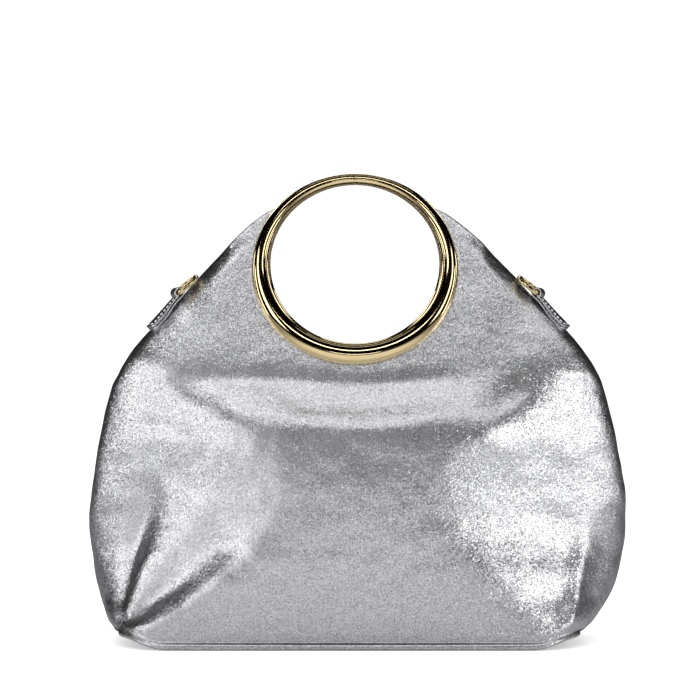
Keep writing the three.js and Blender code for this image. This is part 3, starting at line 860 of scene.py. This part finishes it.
base = new_piece("base_leather", *base_plate(), SILVER_FOIL)
tidy_mesh(base)
dress(base, "bag", "silver_leather", "base_panel")

# %% [markdown]
# A tab is a strip of leather that goes round the bar of its D-ring and back onto itself, sewn down on the
# shoulder. It is swept: the strip's cross-section travels along the fold's path. The tab lies a little to the
# front of the side seam, and its edges droop with the shoulder that it lies on.

# %% Shoulder tabs
TAB_MIDDLE_Z, TAB_TURN = 194.5, math.radians(34.5)
TAB_LENGTH, TAB_HALF_WIDTH, TAB_CORNER = 27.0, 7.5, 4.5
STRIP, STRIP_GAP = 1.5, 0.2
WIRE_RADIUS, BORE_CLEARANCE = 1.4, 0.45
BAR_HEIGHT = WIRE_RADIUS + BORE_CLEARANCE + STRIP
TAB_SIDES, TAB_STEPS, LOOP_STEPS = 16, 30, 40
LEAST_TAB_CORNER = 0.2
# Powers that square off the strip's round section, across its width and through its thickness
WIDTH_POWER, THICKNESS_POWER = 0.35, 0.6
# Turns round the body where the shoulder is measured, and where below the loop the droop starts and is full
DROOP_TURNS = np.radians(np.linspace(-30, 45, 60))
DROOP_START, DROOP_FULL = 4, 18
BAG_SIDES = (("left", -1), ("right", 1))


def shoulder_frame(side):
    """Place of the loop's foot and the axes along the shoulder, out of it and along the D-ring's bar."""
    angle = TAB_TURN if side > 0 else math.pi - TAB_TURN
    half = TAB_LENGTH / 2
    low, middle, high = smooth_point(np.full(3, angle), TAB_MIDDLE_Z + np.array([-half, 0, half]))
    along = unit(high - low)
    outward = smooth_normal(np.array([angle]), np.array([TAB_MIDDLE_Z]))[0]
    outward = unit(outward - along * np.dot(outward, along))
    foot = middle + along * half + outward * PIECE_GAP
    return foot, np.stack([along, outward, np.cross(along, outward)])


def strip_path():
    """Centre line of the folded strip in the plane of along and outward, from its upper to its lower end."""
    loop = BAR_HEIGHT - STRIP / 2
    upper = STRIP * 1.5 + STRIP_GAP
    meet = math.asin((upper - BAR_HEIGHT) / loop)
    turns = np.linspace(math.pi - meet, -math.pi / 2, LOOP_STEPS)
    arc = np.column_stack([loop * np.cos(turns), BAR_HEIGHT + loop * np.sin(turns)])
    to_loop = np.linspace(-TAB_LENGTH, arc[0, 0], TAB_STEPS)[:-1]
    top = np.column_stack([to_loop, np.full(len(to_loop), upper)])
    from_loop = np.linspace(0, -TAB_LENGTH, TAB_STEPS)[1:]
    bottom = np.column_stack([from_loop, np.full(len(from_loop), STRIP / 2)])
    return np.concatenate([top, arc, bottom])


def droop_of(side, foot, axes):
    """A function for how far the shoulder falls away on both sides of the tab's middle."""
    angle = DROOP_TURNS if side > 0 else math.pi - DROOP_TURNS
    local = (smooth_point(angle, np.full(len(angle), TAB_MIDDLE_Z)) - foot) @ axes.T
    order = np.argsort(local[:, 2])
    drops = np.minimum(local[order, 1] + PIECE_GAP, 0)

    def droop(along, across):
        return np.interp(across, local[order, 2], drops) * smoothstep(-along, DROOP_START, DROOP_FULL)

    return droop


def tab_points(side):
    foot, axes = shoulder_frame(side)
    droop = droop_of(side, foot, axes)
    path = strip_path()
    heading = unit(np.gradient(path, axis=0))
    lift = np.column_stack([-heading[:, 1], heading[:, 0]])
    end = np.maximum(TAB_CORNER - (path[:, 0] + TAB_LENGTH), 0)
    corner = np.sqrt(np.maximum(TAB_CORNER**2 - end**2, 0))
    half_width = TAB_HALF_WIDTH - TAB_CORNER + np.maximum(corner, LEAST_TAB_CORNER)
    turns = np.linspace(0, 2 * math.pi, TAB_SIDES, endpoint=False)
    flat = np.sign(np.cos(turns)) * np.abs(np.cos(turns)) ** WIDTH_POWER
    thick = np.sign(np.sin(turns)) * np.abs(np.sin(turns)) ** THICKNESS_POWER * STRIP / 2
    across = half_width[:, None] * flat
    drop = droop(path[:, :1], across)
    level = path[:, None, :] + lift[:, None, :] * thick[None, :, None]
    local = np.stack([level[..., 0], level[..., 1] + drop, across], axis=-1)
    return foot + local @ axes


def tube_faces(rows, columns):
    numbers = np.arange(rows * columns).reshape(rows, columns)
    sides = grid_quads(np.concatenate([numbers, numbers[:, :1]], axis=1)).tolist()
    return sides + [numbers[0].tolist(), numbers[-1][::-1].tolist()]


for name, side in BAG_SIDES:
    points = tab_points(side)
    tab = new_piece(f"{name}_tab_leather", points.reshape(-1, 3), tube_faces(*points.shape[:2]), SILVER_FOIL)
    tidy_mesh(tab)
    dress(tab, "bag", "silver_leather", f"{name}_tab")

# %% [markdown]
# A D-ring is wire bent to a straight bar and a bow. A node tree sweeps a round profile along the wire's line,
# and the same tree serves both sides. Each D-ring swings on its own bar, so it rides on its own body.

# %% D-rings
D_HALF, D_REACH, D_ARM, D_CORNER = 9.4, 14.5, 5.0, 2.6
D_REST_LIFT = math.radians(-6)
D_CORNER_STEPS, D_BOW_STEPS, D_BAR_STEPS = 9, 61, 12
WIRE_SIDES = 24


def line_mesh(name, points, closed):
    edge_count = len(points) if closed else len(points) - 1
    edges = [(i, (i + 1) % len(points)) for i in range(edge_count)]
    mesh = bpy.data.meshes.new(name)
    mesh.from_pydata((points * MM).tolist(), edges, [])
    return mesh


def wire_tree():
    tree = bpy.data.node_groups.new("BentWire", "GeometryNodeTree")
    add_sockets(tree, "INPUT", "Geometry", "Geometry")
    add_sockets(tree, "INPUT", "Float", "Wire Radius")
    add_sockets(tree, "INPUT", "Int", "Sides")
    add_sockets(tree, "OUTPUT", "Geometry", "Geometry")
    given = tree.nodes.new("NodeGroupInput").outputs
    result = tree.nodes.new("NodeGroupOutput")
    line = tree.nodes.new("GeometryNodeMeshToCurve")
    tree.links.new(given["Geometry"], line.inputs["Mesh"])
    profile = tree.nodes.new("GeometryNodeCurvePrimitiveCircle")
    tree.links.new(given["Sides"], profile.inputs["Resolution"])
    tree.links.new(given["Wire Radius"], profile.inputs["Radius"])
    swept = tree.nodes.new("GeometryNodeCurveToMesh")
    tree.links.new(line.outputs[0], swept.inputs["Curve"])
    tree.links.new(profile.outputs[0], swept.inputs["Profile Curve"])
    finish_tree(tree, swept.outputs[0], result.inputs["Geometry"], POLISHED_GOLD)
    return tree


def d_line():
    """The wire's line: x along the bar, y away from it."""
    corner = np.linspace(-math.pi / 2, 0, D_CORNER_STEPS)
    rounding = D_CORNER * np.column_stack([np.cos(corner), np.sin(corner)])
    low_right = (D_HALF - D_CORNER, D_CORNER) + rounding
    bow = np.linspace(0, math.pi, D_BOW_STEPS)
    top = np.column_stack([D_HALF * np.cos(bow), D_ARM + (D_REACH - D_ARM) * np.sin(bow)])
    low_left = low_right[::-1] * (-1, 1)
    along_bar = np.linspace(D_CORNER - D_HALF, D_HALF - D_CORNER, D_BAR_STEPS)[1:-1]
    bar = np.column_stack([along_bar, np.zeros(len(along_bar))])
    return np.concatenate([low_right, top, low_left, bar])


BENT_WIRE = wire_tree()
for name, side in BAG_SIDES:
    foot, (along, outward, bar) = shoulder_frame(side)
    reach = along * math.cos(D_REST_LIFT) + outward * math.sin(D_REST_LIFT)
    flat = d_line()
    points = foot + outward * BAR_HEIGHT + flat[:, :1] * bar + flat[:, 1:] * reach
    mesh = line_mesh(f"{name}_d_line", points, closed=True)
    values = {"Wire Radius": WIRE_RADIUS * MM, "Sides": WIRE_SIDES}
    ring = grow(f"{name}_d_ring_gold", BENT_WIRE, values, mesh)
    tidy_mesh(ring)
    dress(ring, f"{name}_d_ring", "gold_metal", f"{name}_d_ring")

# %% [markdown]
# The tabs are sewn down with a row of stitches near their edge. Stitches repeat along a path, so a node tree
# walks along a line in steps of one stitch and sets a small rounded thread at each step, turned along the
# line.

# %% Stitches on the tabs
STITCH_INSET, STITCH_STEP, STITCH_LENGTH, THREAD_RADIUS = 1.7, 2.6, 1.9, 0.28
STITCHES_BELOW_LOOP = 5.5
STITCH_CORNER_STEPS = 8
THREAD_SEGMENTS, THREAD_RINGS = 8, 6


def stitch_tree():
    tree = bpy.data.node_groups.new("StitchRow", "GeometryNodeTree")
    add_sockets(tree, "INPUT", "Geometry", "Geometry")
    add_sockets(tree, "INPUT", "Float", "Step", "Length", "Thread Radius")
    add_sockets(tree, "OUTPUT", "Geometry", "Geometry")
    given = tree.nodes.new("NodeGroupInput").outputs
    result = tree.nodes.new("NodeGroupOutput")
    line = tree.nodes.new("GeometryNodeMeshToCurve")
    tree.links.new(given["Geometry"], line.inputs["Mesh"])
    steps = tree.nodes.new("GeometryNodeCurveToPoints")
    steps.mode = "LENGTH"
    tree.links.new(line.outputs[0], steps.inputs["Curve"])
    tree.links.new(given["Step"], steps.inputs["Length"])
    stitch = add_node(
        tree, "GeometryNodeMeshUVSphere", Segments=THREAD_SEGMENTS, Rings=THREAD_RINGS, Radius=1.0
    )
    size = tree.nodes.new("ShaderNodeCombineXYZ")
    tree.links.new(given["Thread Radius"], size.inputs[0])
    tree.links.new(given["Thread Radius"], size.inputs[1])
    tree.links.new(calculate(tree, "MULTIPLY", given["Length"], 0.5), size.inputs[2])
    sewn = tree.nodes.new("GeometryNodeInstanceOnPoints")
    tree.links.new(steps.outputs["Points"], sewn.inputs["Points"])
    tree.links.new(stitch.outputs["Mesh"], sewn.inputs["Instance"])
    tree.links.new(steps.outputs["Rotation"], sewn.inputs["Rotation"])
    tree.links.new(size.outputs[0], sewn.inputs["Scale"])
    finish_tree(tree, sewn.outputs[0], result.inputs["Geometry"], GREY_THREAD)
    return tree


def stitch_line(side):
    """A line on the tab's upper face: down one edge, round the lower end and up the other edge."""
    foot, axes = shoulder_frame(side)
    droop = droop_of(side, foot, axes)
    half = TAB_HALF_WIDTH - STITCH_INSET
    radius = TAB_CORNER - STITCH_INSET
    low = -TAB_LENGTH + STITCH_INSET
    turns = np.linspace(math.pi / 2, math.pi, STITCH_CORNER_STEPS)
    corner = np.column_stack([low + radius + radius * np.cos(turns), half - radius + radius * np.sin(turns)])
    one_side = np.concatenate([[(-STITCHES_BELOW_LOOP, half)], corner])
    flat = np.concatenate([one_side, one_side[::-1] * (1, -1)])
    height = 2 * STRIP + STRIP_GAP + droop(flat[:, 0], flat[:, 1])
    return foot + np.column_stack([flat[:, 0], height, flat[:, 1]]) @ axes


STITCH_ROW = stitch_tree()
for name, side in BAG_SIDES:
    mesh = line_mesh(f"{name}_stitch_line", stitch_line(side), closed=False)
    stitches = grow(f"{name}_tab_stitches", STITCH_ROW, {
        "Step": STITCH_STEP * MM,
        "Length": STITCH_LENGTH * MM,
        "Thread Radius": THREAD_RADIUS * MM,
    }, mesh)
    dress(stitches, "bag", "silver_leather")

# %% [markdown]
# Polished gold and foil show the studio more than themselves, so the studio is built from what they reflect.
# Light linking gives each finish its own lights: broad softboxes with dark gaps between them for the leather,
# and narrow strips for the gold, which leave it dark between bright lines. The back leather has the same
# softboxes mirrored behind it, so they put no bright rim on the front. Reflections don't show the white room,
# and the floor's colour in them has painted shade: it is painted dark except in a patch in front of the bag,
# which keeps the outline dark.

# %% Floor, room and lights
FLOOR_DROP, FLOOR_HALF = 0.0004, 4
# The dark floor colour is painted shade, and only reflections show it
FLOOR_WHITE, FLOOR_DARK = (0.92, 0.92, 0.92), (0.08, 0.08, 0.09)
FLOOR_GLOW, NO_GLOW = (0.35, 0.35, 0.35), (0, 0, 0)
FLOOR_ROUGHNESS = 0.9
LIT_PATCH = (0, -0.5, 0)
PATCH_INNER, PATCH_OUTER = 0.25, 0.7
# Painted shade: how dark the floor's colour is painted in reflections, in the lit patch and away from it
PATCH_DARKNESS, FAR_DARKNESS = 0.45, 0.93
ROOM_STRENGTH = 1.15
TARGET = Vector((0, 0, 0.14))


def studio_floor():
    material, tree, shader = new_material("pale_floor")
    shader.inputs["Roughness"].default_value = FLOOR_ROUGHNESS
    place = tree.nodes.new("ShaderNodeTexCoord")
    distance = vector_math(tree, "DISTANCE")
    distance.inputs[1].default_value = LIT_PATCH
    tree.links.new(place.outputs["Object"], distance.inputs[0])
    far = add_node(tree, "ShaderNodeMapRange", From_Min=PATCH_INNER, From_Max=PATCH_OUTER)
    far.interpolation_type = "SMOOTHSTEP"
    tree.links.new(distance.outputs["Value"], far.inputs["Value"])
    # Painted shade: for glossy rays the floor's colour is painted dark, a little in the patch in front of the
    # bag and much more away from it
    ray = tree.nodes.new("ShaderNodeLightPath")
    painted_darkness = map_values(tree, far.outputs[0], PATCH_DARKNESS, FAR_DARKNESS)
    shade = calculate(tree, "MULTIPLY", ray.outputs["Is Glossy Ray"], painted_darkness)
    tree.links.new(mix_colours(tree, shade, FLOOR_WHITE, FLOOR_DARK), shader.inputs["Base Color"])
    glow = mix_colours(tree, ray.outputs["Is Glossy Ray"], FLOOR_GLOW, NO_GLOW)
    tree.links.new(glow, shader.inputs["Emission Color"])
    shader.inputs["Emission Strength"].default_value = 1.0
    mesh = bpy.data.meshes.new("floor")
    signs = ((-1, -1), (1, -1), (1, 1), (-1, 1))
    corners = [(x * FLOOR_HALF, y * FLOOR_HALF, -FLOOR_DROP) for x, y in signs]
    mesh.from_pydata(corners, [], [(0, 1, 2, 3)])
    mesh.materials.append(material)
    floor = bpy.data.objects.new("floor", mesh)
    collection.objects.link(floor)


def white_room():
    world = bpy.data.worlds.new("white_room")
    world.use_nodes = True
    background = world.node_tree.nodes["Background"].inputs
    background["Color"].default_value = (1, 1, 1, 1)
    background["Strength"].default_value = ROOM_STRENGTH
    world.cycles_visibility.glossy = False
    bpy.context.scene.world = world


def group_of(name, pieces):
    group = bpy.data.collections.new(name)
    for piece in pieces:
        group.objects.link(piece)
    return group


def softbox(name, lit, azimuth, elevation, distance, width, height, brightness):
    """A lit rectangle that faces the bag. Azimuth is counted from the camera's side, to the right."""
    turn, rise = math.radians(azimuth), math.radians(elevation)
    towards = Vector((math.sin(turn) * math.cos(rise), -math.cos(turn) * math.cos(rise), math.sin(rise)))
    data = bpy.data.lights.new(name, "AREA")
    data.shape = "RECTANGLE"
    data.size = width
    data.size_y = height
    data.energy = brightness * math.pi * width * height
    light = bpy.data.objects.new(name, data)
    light.location = TARGET + towards * distance
    light.rotation_euler = towards.to_track_quat("Z", "Y").to_euler()
    light.visible_camera = False
    light.light_linking.receiver_collection = lit
    collection.objects.link(light)


studio_floor()
white_room()
meshes = [piece for piece in collection.objects if piece.type == "MESH"]
gold = [piece for piece in meshes if piece.name.endswith("_gold")]
behind = [piece for piece in meshes if piece.name == "back_leather"]
POLISHED = group_of("polished", gold)
FRONT = group_of("front", [piece for piece in meshes if piece not in gold + behind])
BACK = group_of("back", behind)

# Name, azimuth and elevation in degrees, distance, width and height in metres, brightness
SOFTBOXES = (
    ("left_softbox", -51, 4, 1.5, 1.3, 0.9, 1.75),
    ("high_left_softbox", -60, 58, 1.5, 1.0, 0.5, 0.95),
    ("middle_left_softbox", -26, 32, 1.5, 0.5, 0.4, 0.7),
    ("fill", 0, 6, 1.7, 1.0, 1.2, 0.25),
    ("high_softbox", -4, 47, 1.5, 1.0, 0.4, 1.05),
    ("right_softbox", 56, 0, 1.2, 0.75, 0.7, 2.6),
    ("high_right_softbox", 56, 54, 1.5, 1.1, 0.5, 1.3),
    ("overhead_softbox", -20, 74, 1.5, 1.2, 0.9, 1.15),
)
STRIPS = (
    ("strip", 0, 40, 1.5, 0.5, 0.16, 3.6),
    ("low_strip", 0, 3, 1.7, 0.7, 0.08, 3.0),
    ("left_strip", -40, 30, 1.5, 0.45, 1.0, 2.4),
    ("right_strip", 44, 30, 1.5, 0.30, 1.0, 2.4),
    ("far_left_strip", -78, 12, 1.5, 0.25, 1.0, 2.4),
    ("far_right_strip", 78, 12, 1.5, 0.25, 1.0, 2.4),
    ("top_strip", 0, 80, 1.5, 0.9, 0.1, 1.0),
)
for boxes, lit_in_front, lit_behind in ((SOFTBOXES, FRONT, BACK), (STRIPS, POLISHED, POLISHED)):
    for name, azimuth, *box in boxes:
        softbox(f"front_{name}", lit_in_front, azimuth, *box)
        softbox(f"back_{name}", lit_behind, 180 - azimuth, *box)
bpy.context.scene.view_settings.view_transform = "Standard"
